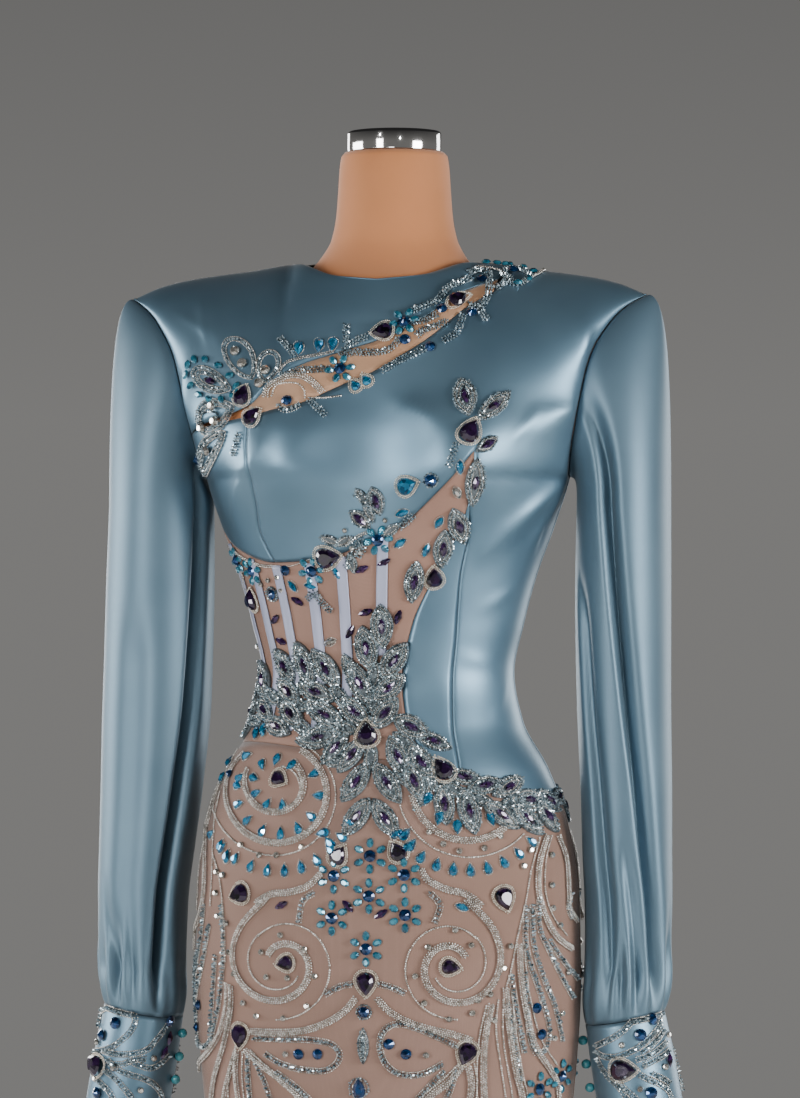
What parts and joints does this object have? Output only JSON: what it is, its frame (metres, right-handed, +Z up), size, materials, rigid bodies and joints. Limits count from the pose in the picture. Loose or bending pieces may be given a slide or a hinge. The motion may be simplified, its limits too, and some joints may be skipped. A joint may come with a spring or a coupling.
{
  "type": "mermaid gown on a dress form",
  "caption": "Long-sleeved mermaid gown with a beaded satin bodice, boned mesh midriff and flared skirt, on a limbless dress form with a round stand.",
  "frame": {"origin": "centre of the stand's round base, on the floor", "axes": "+Z up along the stand's pole, -Y out of the front of the gown, +X towards the wearer's left"},
  "size_m": [0.809, 0.8078, 1.548],
  "materials": {
    "satin": "heavy duchess satin in a dusty steel blue, smooth, with a broad soft sheen",
    "nude_mesh": "fine skin-toned mesh with a slight sheen",
    "skirt_mesh": "fine taupe mesh over a lining, matt",
    "bone_satin": "narrow satin channel in a lavender grey, stitched at both edges",
    "form_cover": "stretched beige jersey over a firm body",
    "polished_metal": "polished, mirror-like",
    "stand_paint": "satin dark grey paint",
    "crystal_trim": "silver and blue beadwork, close set and glittering",
    "turquoise": "glossy turquoise"
  },
  "bodies": {
    "root": {"back_L": "satin", "back_R": "satin", "bone_1": "bone_satin", "bone_2": "bone_satin", "bone_3": "bone_satin", "bone_4": "bone_satin", "bone_5": "bone_satin", "bone_6": "bone_satin", "bust_side_R": "satin", "button_L1": "turquoise", "button_L2": "turquoise", "button_L3": "turquoise", "button_L4": "turquoise", "button_R1": "turquoise", "button_R2": "turquoise", "button_R3": "turquoise", "button_R4": "turquoise", "cuff_L": "satin", "cuff_R": "satin", "flounce_back_L": "skirt_mesh", "flounce_back_R": "skirt_mesh", "flounce_front": "skirt_mesh", "form_base": "stand_paint", "form_neck_cap": "polished_metal", "form_pole": "polished_metal", "form_torso": "form_cover", "front_centre_L": "satin", "front_main": "satin", "inset_midriff": "nude_mesh", "inset_slash": "nude_mesh", "rope_ring_L": "crystal_trim", "rope_ring_R": "crystal_trim", "rope_scroll_L": "crystal_trim", "rope_scroll_R": "crystal_trim", "rope_sweep_L": "crystal_trim", "rope_sweep_R": "crystal_trim", "skirt_back_L": "skirt_mesh", "skirt_back_R": "skirt_mesh", "skirt_front": "skirt_mesh", "sleeve_back_L": "satin", "sleeve_back_lower_R": "satin", "sleeve_back_upper_R": "satin", "sleeve_front_L": "satin", "sleeve_front_lower_R": "satin", "sleeve_front_upper_R": "satin", "trim_apex_L": "crystal_trim", "trim_chest_R": "crystal_trim", "trim_edge_L": "crystal_trim", "trim_hip": "crystal_trim", "trim_hip_L": "crystal_trim", "trim_neck_L": "crystal_trim", "trim_slash": "crystal_trim", "trim_underbust": "crystal_trim", "yoke_front": "satin"}
  },
  "joints": []
}
